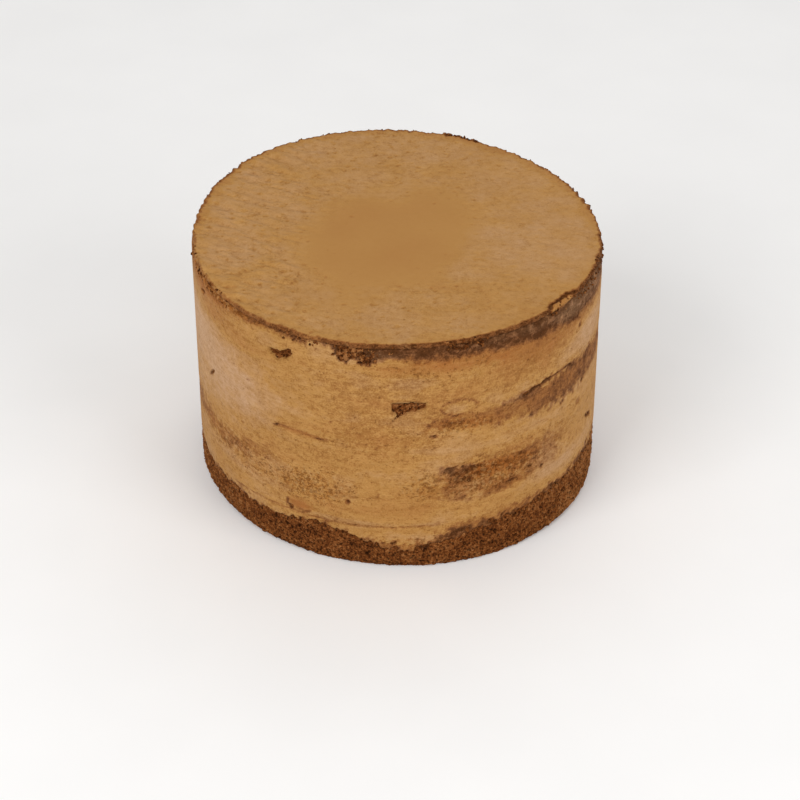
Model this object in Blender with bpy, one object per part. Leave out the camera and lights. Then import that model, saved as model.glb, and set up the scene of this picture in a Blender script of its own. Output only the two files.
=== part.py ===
"""Chocolate naked cake: sponge layers and cream fillings, a cream top and a thin scraped cream coat.

Metres, +Z up, origin at the centre of the base. The front is at -Y. Places on the side are given
as an angle in degrees from the front, positive towards +X, and a height above the base.
"""

import math

import bmesh
import bpy
from mathutils import Vector, noise

MM = 0.001

# Layers from the base up, with their thicknesses
LAYERS = (
    ("sponge_1", 24.8 * MM),
    ("filling_1", 6.4 * MM),
    ("sponge_2", 22.2 * MM),
    ("filling_2", 8.3 * MM),
    ("sponge_3", 24.3 * MM),
    ("filling_3", 8.0 * MM),
    ("sponge_4", 19.4 * MM),
    ("top_cream", 2.3 * MM),
)
HEIGHT = sum(thickness for _, thickness in LAYERS)
GAP = 0.3 * MM

# The body as a whole: nearly a cylinder, a little out of round, leaning and higher at the back
BASE_RADIUS = 90.0 * MM
TOP_RADIUS = 89.5 * MM
BASE_OVAL = 0.0150
TOP_OVAL = 0.0042
TOP_LOBES = 0.0118
LEAN_X = -1.6 * MM
SLOPE_X = -0.0105
SLOPE_Y = 0.0236

# Depths below the outer surface
COAT_INNER_DEPTH = 1.2 * MM
CORE_DEPTH = COAT_INNER_DEPTH + GAP
BARE_DEPTH = 0.2 * MM
BARE_EASE = (1.0 * MM, 4.0 * MM)
CRUMB_DEPTH = 1.3 * MM
FILLING_BULGE = 0.45 * MM
SPONGE_DIP = 0.25 * MM
COAT_WAVE = 0.35 * MM
COAT_EDGE_TAPER = 0.7 * MM
COAT_EDGE_RAGGEDNESS = 0.6 * MM
RIM_INSET = 0.9 * MM
RIM_ROUNDING = 1.1 * MM
RIM_UNDERCUT = 0.3 * MM
RIM_RAGGEDNESS = 0.45 * MM
TOP_WAVE = 0.35 * MM

# Faces round and up each piece
COLUMNS = 120
HIDDEN_COLUMNS = 72
SPONGE_ROWS = {"sponge_1": 7, "sponge_2": 3, "sponge_3": 3, "sponge_4": 5}
COAT_ROWS = 8
RIM_STEPS = 3
TOP_RINGS = (0.88, 0.60, 0.25)

# The coat's lower and upper edges: degrees from the front, millimetres above the base
COAT_LOWER_EDGE = (
    (-165, 16), (-130, 19), (-100, 21), (-75, 19), (-50, 17.5), (-40, 16), (-20, 19.5), (-13, 17.5),
    (-8, 13), (3, 10), (9, 12), (15, 15.5), (22, 18.5), (50, 22), (75, 23.6), (100, 21.5), (135, 16),
)
COAT_UPPER_EDGE = (
    (-160, 108), (-125, 105), (-95, 109), (-60, 110), (-30, 111), (-18, 110.5), (-12, 105.5),
    (-7, 105.5), (-3, 108.5), (20, 107), (45, 104), (70, 101), (95, 105), (125, 109), (155, 105),
)

# Bare streaks, where the scraper took the coat down to the sponge. Each has its middle (degrees,
# millimetres), half its length (degrees), half its height and its rise to the right (millimetres).
BARE_STREAKS = {
    "sponge_3_right": (46, 74.5, 34, 8.0, 1.5),
    "sponge_2_right": (30, 44.0, 20, 7.5, 2.0),
    "sponge_2_left": (-58, 43.0, 18, 5.0, 3.0),
    "sponge_3_back": (153, 74.5, 26, 7.5, 1.0),
    "sponge_2_back": (-145, 43.5, 23, 7.0, -1.5),
    "sponge_4_left": (-104, 99.8, 14, 3.0, 1.5),
}
# Torn holes in the coat: corners (degrees, millimetres), counter-clockwise
TORN_HOLES = {
    "gouge": (
        (-0.6, 87), (-0.4, 83), (0.8, 80.5), (-0.6, 77.8), (2.6, 80.8), (4.5, 82.6), (8.4, 83.8), (8.8, 87),
    ),
    "pit": ((-35, 103.5), (-34, 100.5), (-30.5, 101.5), (-28.5, 104.5), (-29.5, 106), (-32, 104)),
}
STREAK_CORNERS = 22
STREAK_RAGGEDNESS = 0.16
HOLE_STEP = 4.8 * MM
HOLE_RAGGEDNESS = 0.8 * MM
CUTTER_REACH = (0.93, 1.35)
SHARP_ANGLE = math.radians(40)

SPONGE_COLOUR = (0.135, 0.050, 0.020)
CREAM_COLOUR = (0.430, 0.225, 0.080)


def smooth(x):
    """An ease from 0 to 1."""
    x = min(1.0, max(0.0, x))
    return x * x * (3 - 2 * x)


def edge_height(points, angle):
    """The height of an edge at an angle, eased between its points all the way round."""
    wrapped = [(points[-1][0] - 360, points[-1][1]), *points, (points[0][0] + 360, points[0][1])]
    angle = (angle - wrapped[0][0]) % 360 + wrapped[0][0]
    for (a0, z0), (a1, z1) in zip(wrapped, wrapped[1:]):
        if a0 <= angle <= a1:
            return (z0 + (z1 - z0) * smooth((angle - a0) / (a1 - a0))) * MM
    return wrapped[0][1] * MM


def outer_radius(angle, height):
    """The radius of the finished side, without its relief."""
    share = height / HEIGHT
    a = math.radians(angle)
    base = BASE_RADIUS * (1 + BASE_OVAL * math.sin(2 * a))
    top = TOP_RADIUS * (1 + TOP_OVAL * math.cos(2 * a - 0.5) - TOP_LOBES * math.sin(3 * a + 0.3))
    return base + (top - base) * share


def place(angle, height, radius):
    """The point at an angle, a nominal height and a radius, with the cake's lean and slope."""
    a = math.radians(angle)
    share = height / HEIGHT
    x = radius * math.sin(a)
    y = -radius * math.cos(a)
    z = height + share * (SLOPE_X * x + SLOPE_Y * y)
    return Vector((x + LEAN_X * (share - 0.5), y, z))


def angles(columns):
    return [360 * i / columns for i in range(columns)]


def rough(angle, height, cell, seed):
    """Smooth noise from -1 to 1 over the side, with bumps about one cell across."""
    point = place(angle, height, BASE_RADIUS) / cell
    return noise.noise(point + Vector((seed, 0, 0)))


def crumb_depth(angle, height, seed):
    """How far the torn sponge lies below its outer surface."""
    coarse = rough(angle, height, 9 * MM, seed)
    fine = rough(angle, height, 4 * MM, seed + 50)
    return CRUMB_DEPTH * min(1.0, max(0.0, 0.35 + 0.6 * coarse + 0.7 * fine))


def core_depth(angle, height):
    """The sponge's depth: under the coat, and nearly flush well below or above the coat's edges."""
    below = edge_height(COAT_LOWER_EDGE, angle) - height
    above = height - edge_height(COAT_UPPER_EDGE, angle)
    start, end = BARE_EASE
    bare = smooth((max(below, above) - start) / (end - start))
    return CORE_DEPTH + (BARE_DEPTH - CORE_DEPTH) * bare


def spans():
    """Each layer's lower and upper height, by name."""
    found, low = {}, 0.0
    for name, thickness in LAYERS:
        found[name] = (low, low + thickness)
        low += thickness
    return found


def material(name, colour, roughness):
    made = bpy.data.materials.new(name)
    made.use_nodes = True
    shader = made.node_tree.nodes["Principled BSDF"]
    shader.inputs["Base Color"].default_value = (*colour, 1)
    shader.inputs["Roughness"].default_value = roughness
    shader.inputs["Metallic"].default_value = 0
    made.diffuse_color = (*colour, 1)
    return made


def make_object(name, mesh_maker, finish):
    """A named object from the faces that mesh_maker puts into a bmesh, turned to point out."""
    body = bmesh.new()
    mesh_maker(body)
    bmesh.ops.recalc_face_normals(body, faces=body.faces)
    if body.calc_volume(signed=True) < 0:
        bmesh.ops.reverse_faces(body, faces=body.faces)
    mesh = bpy.data.meshes.new(name)
    body.to_mesh(mesh)
    body.free()
    mesh.shade_smooth()
    mesh.set_sharp_from_angle(angle=SHARP_ANGLE)
    mesh.materials.append(finish)
    made = bpy.data.objects.new(name, mesh)
    bpy.context.scene.collection.objects.link(made)
    return made


def bridge(body, lower, upper):
    count = len(lower)
    for i in range(count):
        j = (i + 1) % count
        body.faces.new((lower[i], lower[j], upper[j], upper[i]))


def capped_rings(body, rings):
    """A closed body from rings of points, joined in order, with a face over the first and the last."""
    loops = [[body.verts.new(point) for point in ring] for ring in rings]
    for lower, upper in zip(loops, loops[1:]):
        bridge(body, lower, upper)
    body.faces.new(reversed(loops[0]))
    body.faces.new(loops[-1])


def looped_rings(body, rings):
    """A closed body from rings of points, joined in order and the last one to the first."""
    loops = [[body.verts.new(point) for point in ring] for ring in rings]
    for lower, upper in zip(loops, loops[1:] + loops[:1]):
        bridge(body, lower, upper)


def sponge_rings(low, high, rows, seed):
    """A crumbly disc: the side is pitted, the two faces are flat."""
    rings = []
    for row in range(rows + 1):
        height = low + (high - low) * row / rows
        rings.append([
            place(a, height, outer_radius(a, height) - core_depth(a, height) - crumb_depth(a, height, seed))
            for a in angles(COLUMNS)
        ])
    return rings


def filling_rings(low, high):
    return [
        [place(a, height, outer_radius(a, height) - CORE_DEPTH) for a in angles(HIDDEN_COLUMNS)]
        for height in (low, high)
    ]


def rim_radius(angle):
    """The ragged outer edge of the cream top."""
    ragged = RIM_RAGGEDNESS * rough(angle, HEIGHT, 7 * MM, 11)
    return outer_radius(angle, HEIGHT) - RIM_INSET + ragged


def top_rings(low, high):
    """The cream top: a thin disc with a rounded rim and a gently uneven face."""
    rings = [[place(a, low, rim_radius(a) - RIM_UNDERCUT) for a in angles(COLUMNS)]]
    for step in range(RIM_STEPS + 1):
        turn = math.pi / 2 * step / RIM_STEPS
        inset = RIM_ROUNDING * (1 - math.cos(turn))
        height = high - RIM_ROUNDING * (1 - math.sin(turn))
        rings.append([place(a, height, rim_radius(a) - inset) for a in angles(COLUMNS)])
    for share in TOP_RINGS:
        ring = []
        for a in angles(COLUMNS):
            point = place(a, high, rim_radius(a) * share)
            point.z -= TOP_WAVE * (0.5 + 0.5 * noise.noise(point / (28 * MM)))
            ring.append(point)
        rings.append(ring)
    return rings


def coat_relief(angle, height):
    """How far the coat stands out or dips: fuller over the fillings, thinner over the sponge."""
    relief = -SPONGE_DIP
    for name, (low, high) in spans().items():
        if name.startswith("filling"):
            middle, half = (low + high) / 2, (high - low) / 2 + 3 * MM
            relief += (FILLING_BULGE + SPONGE_DIP) * smooth(1 - abs(height - middle) / half)
    return relief + COAT_WAVE * rough(angle, height, 30 * MM, 3)


def coat_height(angle, share):
    """A height between the coat's ragged lower edge, share 0, and its upper edge, share 1."""
    low = edge_height(COAT_LOWER_EDGE, angle) + COAT_EDGE_RAGGEDNESS * rough(angle, 0, 6 * MM, 21)
    high = edge_height(COAT_UPPER_EDGE, angle) + COAT_EDGE_RAGGEDNESS * rough(angle, HEIGHT, 6 * MM, 22)
    return low + (high - low) * share


def coat_rings():
    """The scraped coat, a thin sleeve: the outer face from the lower edge up, then the inner face."""
    rings = []
    for row in range(COAT_ROWS + 1):
        taper = COAT_EDGE_TAPER if row in (0, COAT_ROWS) else 0
        ring = []
        for a in angles(COLUMNS):
            height = coat_height(a, row / COAT_ROWS)
            ring.append(place(a, height, outer_radius(a, height) + coat_relief(a, height) - taper))
        rings.append(ring)
    for share in (1, 0):
        edge = [(a, coat_height(a, share)) for a in angles(COLUMNS)]
        rings.append([place(a, z, outer_radius(a, z) - COAT_INNER_DEPTH) for a, z in edge])
    return rings


def streak_outline(middle, height, half_length, half_height, rise):
    """A long pointed streak with torn edges, as (angle, height) pairs, counter-clockwise."""
    outline = []
    for i in range(STREAK_CORNERS):
        turn = 2 * math.pi * i / STREAK_CORNERS
        torn = 1 + STREAK_RAGGEDNESS * noise.noise(Vector((middle, height, 2.7 * i)))
        up = half_height * math.sin(turn) * abs(math.sin(turn)) ** 0.4 * torn
        outline.append((
            middle + half_length * math.cos(turn),
            (height + up + rise * math.cos(turn)) * MM,
        ))
    return outline


def hole_outline(corners):
    """A hole's corners with torn sides between them, as (angle, height) pairs."""
    outline = []
    for (a0, z0), (a1, z1) in zip(corners, corners[1:] + corners[:1]):
        across = math.radians(a1 - a0) * BASE_RADIUS
        up = (z1 - z0) * MM
        length = math.hypot(across, up)
        steps = max(1, round(length / HOLE_STEP))
        for step in range(steps):
            share = step / steps
            torn = HOLE_RAGGEDNESS * noise.noise(Vector((a0, z0, 7.3 * share))) if step else 0
            angle = a0 + (a1 - a0) * share - math.degrees(torn * up / length / BASE_RADIUS)
            outline.append((angle, z0 * MM + up * share + torn * across / length))
    return outline


def coat_cutter(name, outline):
    """A wedge through the coat, from inside it to well outside, hidden from render."""
    def wedge(body):
        loops = [
            [body.verts.new(place(a, z, outer_radius(a, z) * reach)) for a, z in outline]
            for reach in CUTTER_REACH
        ]
        bridge(body, *loops)
        body.faces.new(reversed(loops[0]))
        body.faces.new(loops[1])
        bmesh.ops.triangulate(body, faces=body.faces)

    cutter = make_object("cut_" + name, wedge, bpy.data.materials["cream"])
    cutter.hide_render = True
    cutter.display_type = "WIRE"
    return cutter


def cut(target, cutter):
    boolean = target.modifiers.new(cutter.name, "BOOLEAN")
    boolean.operation = "DIFFERENCE"
    boolean.solver = "EXACT"
    boolean.object = cutter


def build():
    for old in list(bpy.data.objects):
        bpy.data.objects.remove(old)
    sponge = material("sponge", SPONGE_COLOUR, 0.9)
    cream = material("cream", CREAM_COLOUR, 0.55)
    for seed, (name, (low, high)) in enumerate(spans().items()):
        low += GAP if low else 0
        if name in SPONGE_ROWS:
            rings, finish = sponge_rings(low, high, SPONGE_ROWS[name], 10 * seed), sponge
        elif name == "top_cream":
            rings, finish = top_rings(low, high), cream
        else:
            rings, finish = filling_rings(low, high), cream
        make_object(name, lambda body, r=rings: capped_rings(body, r), finish)
    coat = make_object("side_coat", lambda body: looped_rings(body, coat_rings()), cream)
    for name, streak in BARE_STREAKS.items():
        cut(coat, coat_cutter(name, streak_outline(*streak)))
    for name, corners in TORN_HOLES.items():
        cut(coat, coat_cutter(name, hole_outline(corners)))


build()
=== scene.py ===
"""Looks of the chocolate naked cake: torn sponge sides, a thin scraped coat and a smooth cream top.

Places on the side are given as an angle in degrees from the front (-Y), positive towards +X, and a
height in millimetres above the base; place() turns them into metres.
"""

import math
from itertools import combinations, product

import bpy
import numpy as np
from mathutils import Matrix, Vector


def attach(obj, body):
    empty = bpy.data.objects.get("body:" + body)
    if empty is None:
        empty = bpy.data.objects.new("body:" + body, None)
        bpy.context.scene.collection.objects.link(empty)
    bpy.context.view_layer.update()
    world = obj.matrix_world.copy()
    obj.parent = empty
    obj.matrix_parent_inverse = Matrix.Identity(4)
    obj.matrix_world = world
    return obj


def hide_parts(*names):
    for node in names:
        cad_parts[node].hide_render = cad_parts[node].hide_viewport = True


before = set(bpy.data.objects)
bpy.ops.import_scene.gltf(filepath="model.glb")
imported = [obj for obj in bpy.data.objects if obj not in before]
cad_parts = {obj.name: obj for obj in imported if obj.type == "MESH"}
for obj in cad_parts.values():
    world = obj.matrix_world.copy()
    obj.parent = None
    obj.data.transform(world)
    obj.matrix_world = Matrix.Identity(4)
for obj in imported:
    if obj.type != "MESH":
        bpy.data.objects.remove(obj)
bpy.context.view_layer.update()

MM = 0.001
ARC = math.radians(90.0)  # millimetres of side per degree, at a radius of 90 mm

# The layers' lower and upper heights
SPANS = {
    "sponge_1": (0.0, 24.8), "filling_1": (24.8, 31.2), "sponge_2": (31.2, 53.4),
    "filling_2": (53.4, 61.7), "sponge_3": (61.7, 86.0), "filling_3": (86.0, 94.0),
    "sponge_4": (94.0, 113.4), "top_cream": (113.4, 115.7),
}
COAT_TOP = SPANS["sponge_4"][1]
HEIGHT = 115.7

# The body: nearly a cylinder, a little out of round, leaning and higher at the back
BASE_RADIUS = 90.0
TOP_RADIUS = 89.5
BASE_OVAL = 0.0150
TOP_OVAL = 0.0042
TOP_LOBES = 0.0118
LEAN_X = -1.6
SLOPE_X = -0.0105
SLOPE_Y = 0.0236

# Depths below the outer surface, and reliefs
SPONGE_DEPTH = 0.95
CRUMB_TIPS = 0.15
MEAN_RELIEF = 1.0
SMOOTH_RELIEF = 0.95
HOLE_RELIEF = 0.9
HOLE_SHADE = 0.62
HOLE_EDGE = 0.5
FOOT_SWELL = 0.6
FOOT_SWELL_OVER = 3.0
FOOT_ROUNDING = 0.9
FOOT_ROUNDING_OVER = 1.6
COAT_WALL = 7.5
COAT_OVERLAP = 5.0
HOLE_FILM = -5.5
THIN_FILM = 0.35
BARE_DIP = 3.2
MEAN_GONE = 0.045
FOOT_GONE = 1.9
LEAST_FRECKLE = 0.05
RIM_INSET = 0.9
RIM_ROUNDING = 1.1
SHOULDER = 1.6
RIM_SEAM = 0.02
HIDDEN_GAP = 0.05

# The coat's lower edge: (angle, height)
COAT_LOWER_EDGE = (
    (-165, 16), (-130, 19), (-100, 20), (-78, 17.5), (-62, 15.5), (-52, 17), (-40, 15.5), (-20, 19.5),
    (-13, 17.5), (-8, 13), (3, 10), (9, 12), (15, 15.5), (22, 18.5), (50, 22), (75, 23.6), (100, 21.5),
    (135, 16),
)
# How softly the coat ends over the lowest sponge: (angle, millimetres)
FOOT_FADE = ((-120, 1.2), (-60, 0.8), (-15, 0.6), (0, 0.9), (20, 1.2), (45, 1.4), (70, 1.2), (120, 1.2))
# How far the purple brown stain climbs above that edge: (angle, millimetres, strength)
FOOT_STAIN = (
    (-130, 4, 0.5), (-80, 2.5, 0.45), (-45, 2, 0.4), (-15, 1.5, 0.35), (-6, 3.5, 0.5), (6, 5, 0.6),
    (14, 6.5, 0.8), (24, 6.2, 0.9), (40, 5.4, 0.92), (60, 4.6, 0.9), (78, 4.4, 0.8), (110, 4.5, 0.5),
    (150, 6, 0.6),
)
# The band scraped thin under the rim and over it: (angle, lower edge, how much cream is gone, how softly
# the band ends). Where more than 1 is gone, the sponge is bare.
ABOVE_RIM = 120
UNDER_RIM = (
    (-165, 110, 0.6, 2.5), (-125, 107, 0.7, 2.5), (-95, 110, 0.5, 2), (-75, 107.5, 0.36, 3.5),
    (-58, 109.5, 0.42, 3), (-45, 111.8, 0.55, 2.2), (-35, 112, 0.74, 1.4), (-27, 112, 0.7, 1.2),
    (-21, 112.6, 0.52, 1.2), (-17, 111.5, 0.9, 0.8), (-14.6, 109, 1.22, 0.5), (-12.8, 105.6, 1.28, 0.4),
    (-11, 107.6, 1.24, 0.4), (-9, 105, 1.3, 0.4), (-6.5, 104.4, 1.26, 0.4), (-5, 107, 1.08, 0.6),
    (-2, 109.5, 0.9, 1.8), (6, 107.4, 0.88, 3.6), (18, 106.6, 0.9, 4.2), (30, 105.6, 0.88, 4.6),
    (44, 103.4, 0.89, 4.2), (58, 101.8, 0.9, 4), (75, 101.8, 0.85, 4), (95, 106, 0.75, 2),
    (125, 110, 0.6, 2), (150, 107, 0.7, 2.5),
)
# A chunk of cream left on the rim: middle, height, half length, half height
RIM_CHUNK = (51.5, 114.8, 5.5, 2.4)
# The crack in the top beside that chunk: angle, millimetres in from the rim
RIM_CRACK = (
    (47.4, 1), (48.2, 1.8), (49.8, 2.7), (50.8, 2.2), (52.3, 1.9), (54, 2.4), (56, 2.3), (57.6, 1.4),
    (58.6, 1.1),
)
# The other bands scraped thin, and one band of painted shade over the front's middle: (angle, lower edge,
# upper edge, how much is gone, how softly the band ends)
BANDS = {
    "crumbs_under_rim": (
        (14, 112, 114, 0, 1.2), (18, 110.5, ABOVE_RIM, 0.3, 1.2), (22, 110, ABOVE_RIM, 0.34, 1.2),
        (26, 112, 114, 0, 1.2), (80, 112, 114, 0, 1.2), (-60, 113, 115, 0, 1),
        (-36, 112.6, ABOVE_RIM, 0.22, 1), (-26, 112, ABOVE_RIM, 0.3, 0.8), (-18, 112, ABOVE_RIM, 0.2, 0.8),
        (-14, 113, 115, 0, 1),
    ),
    "over_sponge_3": (
        (8, 74.5, 76.5, 0, 2.5), (13, 72.5, 78, 0.5, 2.2), (24, 71, 78.5, 0.42, 3), (33, 69, 79.8, 0.46, 3),
        (40, 66.8, 80.8, 0.6, 1.8), (52, 66.4, 81.6, 0.68, 1.6), (64, 67, 80.4, 0.66, 2),
        (78, 69, 78.5, 0.64, 2.4), (90, 71, 77, 0.45, 2.5), (100, 73, 75, 0, 2), (122, 74, 75, 0, 2),
        (136, 70, 80, 0.72, 2), (153, 67, 82, 0.88, 1.8), (170, 69, 81, 0.72, 2.5), (184, 73, 76, 0, 2),
    ),
    "over_sponge_2": (
        (10, 47, 49, 0, 1.4), (15, 44, 52.6, 0.54, 1.6), (22, 43.5, 52, 0.6, 1.8),
        (30, 45, 50.4, 0.61, 1.6), (37, 46, 50, 0.48, 1.8), (44, 44.5, 53, 0.3, 2.6), (52, 45, 52, 0.18, 3),
        (60, 47, 49, 0, 3), (96, 47, 48, 0, 2), (108, 44, 50, 0.6, 2), (124, 45, 51, 0.55, 2.5),
        (134, 47, 48, 0, 2),
    ),
    "around_sponge_2": (
        (2, 42, 46, 0, 3.5), (14, 35, 55, 0.16, 3.5), (30, 34, 56, 0.2, 3.5), (46, 37, 56, 0.18, 3.5),
        (58, 42, 54, 0, 3.5),
    ),
    "streak_on_sponge_2": (
        (13, 51.4, 53, 0, 0.6), (16, 51.2, 53, 0.4, 0.6), (24, 50, 51.8, 0.26, 0.8),
        (28, 48, 49, 0.06, 0.9), (34, 48, 49.4, 0.1, 0.9), (37, 48, 49.8, 0.62, 0.6),
        (40, 49.2, 50, 0, 0.6),
    ),
    "low_on_sponge_2": (
        (8, 39, 42, 0, 3), (17, 36, 44, 0.3, 3), (30, 34.5, 44, 0.3, 3), (44, 35.5, 46, 0.24, 3),
        (58, 38, 44, 0.1, 3), (75, 38, 44, 0, 3),
    ),
    "left_on_sponge_2": (
        (-178, 42, 44, 0, 3), (-160, 39, 49, 0.65, 2.5), (-140, 37, 48, 0.8, 2.2), (-122, 38, 45, 0.5, 2.8),
        (-100, 38, 44, 0.3, 3), (-80, 36, 46, 0.46, 3.5), (-65, 38, 46.5, 0.38, 3),
        (-55, 37, 45.5, 0.36, 3), (-45, 41, 49, 0.3, 2.4), (-38, 44.5, 49.5, 0.22, 2), (-32, 46, 48, 0, 2),
    ),
    "shade_on_sponge_2": (
        (-75, 28, 38, 0, 4), (-52, 29, 41, 0.14, 4), (-32, 31, 46, 0.15, 4), (-16, 32, 45, 0.12, 4),
        (-4, 36, 42, 0, 4),
    ),
    # painted shade: cream thinned over the middle and upper right of the front, darkening them
    "shade_on_front_middle": (
        (-26, 60, 96, 0, 6), (-10, 60, 98, 0.15, 6), (10, 60, 100, 0.15, 6), (22, 84, 102, 0.08, 5),
        (34, 86, 103, 0.14, 5), (52, 88, 101, 0.12, 5), (66, 90, 100, 0, 5),
    ),
    "over_sponge_4": (
        (-124, 98, 99, 0, 1.5), (-112, 97.5, 101.5, 0.75, 1.5), (-100, 98.5, 103, 0.7, 1.5),
        (-90, 101, 103, 0, 1.5),
    ),
}
# Zones freckled with small crumbs: middle, height, half length, half height, strength
FRECKLES = (
    (-24, 39, 17, 14, 1), (-50, 38, 26, 12, 0.7), (7, 44, 10, 11, 0.85), (18, 72.5, 14, 8, 0.8),
    (27, 44, 24, 14, 0.9), (50, 58, 26, 7, 0.45), (-8, 70, 30, 16, 0.25), (14, 103, 26, 8, 0.5),
    (-60, 105, 22, 9, 0.5), (4, 15, 14, 6, 0.6), (-150, 60, 40, 20, 0.4), (150, 45, 40, 16, 0.6),
    (120, 98, 34, 10, 0.45), (-110, 36, 30, 10, 0.6), (-60, 113, 26, 5.5, 1),
)
# Single pits: angle, height, half length, half height (millimetres), rise to the right, depth
PITS = (
    (-62, 68, 3.3, 1.2, 0.85, 1.4), (-65, 106.2, 3.4, 1.2, 0.25, 1.1), (-46.5, 56, 1.6, 0.6, 0.2, 0.6),
    (-43, 81, 1.8, 1, 0.1, 0.6), (-49, 84.5, 1.2, 0.6, 0, 0.5), (-12.8, 33.8, 1.5, 1.3, 0, 0.9),
    (10.5, 69.5, 1.9, 1, 0, 0.8), (-4.5, 38.8, 1.4, 0.5, 0, 0.6), (33.5, 38, 3.2, 1, 0.1, 0.55),
    (39.5, 40.8, 1.6, 0.9, -0.2, 0.8), (44, 37.6, 1.1, 0.8, 0, 0.8), (69.5, 41.4, 4.8, 1.5, -0.45, 1.3),
    (63, 66.5, 1.4, 0.9, 0.2, 0.6), (61, 57.5, 2.6, 2, 0, 0.5), (60.5, 97.6, 1.5, 1.8, 0, 0.7),
    (-33.4, 64.9, 1.3, 0.6, 0.5, 0.7), (-30, 23, 1.2, 1.3, 0.3, 1), (-17, 74.5, 0.9, 0.7, 0, 0.5),
    (47.5, 100.5, 1.4, 0.9, 0, 0.5), (118, 70, 2.5, 1, 0.2, 0.8), (-128, 80, 2, 1.1, -0.2, 0.9),
    (178, 52, 2.2, 1, 0.1, 0.8),
)
# Fine grooves and folds in the cream: width, depth and the points along them
GROOVES = (
    (0.55, 0.7, ((-34.5, 64.4), (-31, 65.6), (-27, 65.5), (-18, 64.5))),
    (0.55, 0.5, ((-52, 19.5), (-30, 21.8), (-12, 21.8), (0, 22), (12, 23.2))),
    (0.6, 0.8, ((37, 79.4), (40, 80.8), (46, 81.6), (52, 82.2), (56, 81.4))),
    (0.5, 0.55, ((13, 84.6), (15, 86), (18, 86.6), (21, 85.6), (22.8, 83.2))),
    (0.5, 0.55, ((12.4, 82.4), (13.4, 80.4), (15.8, 79), (19, 79))),
    (0.7, 0.9, ((-31, 27), (-31.3, 24.5), (-29.8, 23.2))),
    (0.6, 0.6, ((-28, 23.8), (-25.5, 22.9), (-24, 24.2))),
    (0.4, 0.3, ((96, 60), (110, 61.2), (126, 60.4))),
    (0.45, 0.35, ((-150, 95), (-138, 96), (-124, 95.2))),
)
# Torn holes: corners, and how deep the sponge lies in them
HOLES = {
    "gouge": (0.35, (
        (-0.6, 87), (-0.4, 83), (0.8, 80.5), (-0.6, 77.8), (2.6, 80.8), (4.5, 82.6), (8.4, 83.8), (8.8, 87),
    )),
    "pit_left": (1, ((-34.5, 103.2), (-34, 100.8), (-31.5, 100.2), (-29.8, 101.6), (-31.5, 103.6))),
    "pit_right": (1, ((-31, 103.2), (-29.2, 101.4), (-27.4, 104.2), (-28, 106), (-29.6, 104.6))),
}
# Tints, warm brown above zero and pale pinkish below: middle, height, half length, half height, amount
TINTS_AND_SHEEN = (
    (14, 104.5, 26, 5, 0.7), (45, 101, 26, 6.5, 0.75), (52, 115, 5, 3, 0.6), (-62, 106, 20, 9, 0.7),
    (-60, 113.5, 26, 5.5, 0.9), (56, 73.5, 34, 9, 0.35), (-26, 65, 7, 1.6, 0.7), (-50, 99, 20, 7, 0.45),
    (-27.5, 26, 4.6, 3.8, 1.2), (29, 48, 12, 4, 2.4), (8, 40, 8, 10, 0.3), (22, 75, 12, 5, 0.25),
    (38, 94, 22, 9, 0.35), (5, 30, 50, 5, 0.22), (45, 20, 40, 7, 0.62), (17.5, 82.2, 4.4, 3.8, -0.32),
    # painted sheen: the large pale pink zone over the left side, at -66 degrees
    (-66, 80, 34, 30, -0.92), (-44, 76, 22, 22, -0.2), (-38, 38, 30, 13, -0.22),
    (-18, 23.4, 36, 1.6, -0.35), (2, 16.5, 12, 4, -0.45), (64, 90, 18, 9, -0.7), (58, 33, 24, 6.5, -0.6),
    (30, 62, 34, 3, -0.25), (62, 109, 24, 9, -0.65), (-150, 85, 34, 12, -0.5), (140, 60, 30, 8, -0.4),
)
# Noise for each use: the size of its bumps in millimetres, its seed and its octaves
NOISE = {
    "blotches": ((7, 7, 3.6), 31, 2), "spots": (2.4, 32, 2), "mottles": (1.3, 33, 2),
    "foot_mottles": ((3.4, 3.4, 2.4), 34, 2), "thickness": (26, 11, 2), "long_lines": ((26, 26, 0.9), 21),
    "short_lines": ((9, 9, 1.6), 22, 2), "dents": (4, 23, 2), "groove_wander": (4, 61),
    "broad_tint": (22, 41, 2), "tint_bands": ((34, 34, 4.5), 42, 2), "tears": (3.2, 302),
    "rips": (1.6, 301), "rim_waves": (7, 72), "rim_teeth": (1.6, 73, 2), "rim_patches": (3, 91, 2),
    "worked_edge": (20, 80, 2), "top_waves": (30, 81, 2), "wrinkles": ((8.5, 3.2, 9), 82, 2),
    "strokes": ((4.5, 2.2, 9), 83, 2), "top_grain": (2.0, 84, 2), "top_tint": (24, 88, 2),
    "top_mottles": (9, 89, 2), "dark_rim_blotches": (5.5, 86, 2), "dark_rim_grain": (2.0, 87, 2),
    "crack_wander": (1.6, 92), "crack_edge": (1.1, 93), "lumps": (1, 43),
}
# Sizes of the sponge's crumbs, in millimetres
CRUMB = (1.9, 1.9, 1.6)
SMALL_CRUMB = 1.1
PORE = 3.6
PORE_SHARE = 0.22
# Lumps with a seed of their own: torn crumbs, teeth of the rim and two kinds of specks on the top
TORN_CRUMB = (2.3, 77)
RIM_TOOTH = (2.6, 71)
SPECKS = ((3.4, 85), (2.3, 90))
# The calm middle of the top: its place, lean and half lengths in millimetres
CALM_X, CALM_Y, CALM_LEAN, CALM_WIDE, CALM_LONG = -1, -10, 0.25, 40, 52
# How far strokes on the top run aslant, in degrees
WRINKLE_TURN = -26
STROKE_TURN = -8
SPECK_TURN = 15
# The sponges' seeds, and the rows and columns (front, back) of the fine meshes
SPONGES = {
    "sponge_1": (101, 54, (840, 440)), "sponge_2": (151, 32, (520, 260)),
    "sponge_3": (201, 35, (520, 260)), "sponge_4": (251, 30, (520, 260)),
}
COAT_ROWS, COAT_COLUMNS = 120, (540, 230)
FRONT_REACH = 100
TOP_CELLS = 290
RIM_STEPS = 5

HASH_STEPS = np.array((73856093, 19349663, 83492791), dtype=np.uint64)
HASH_MASK = np.uint64(0xFFFFFFFF)


# Numbers

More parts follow.
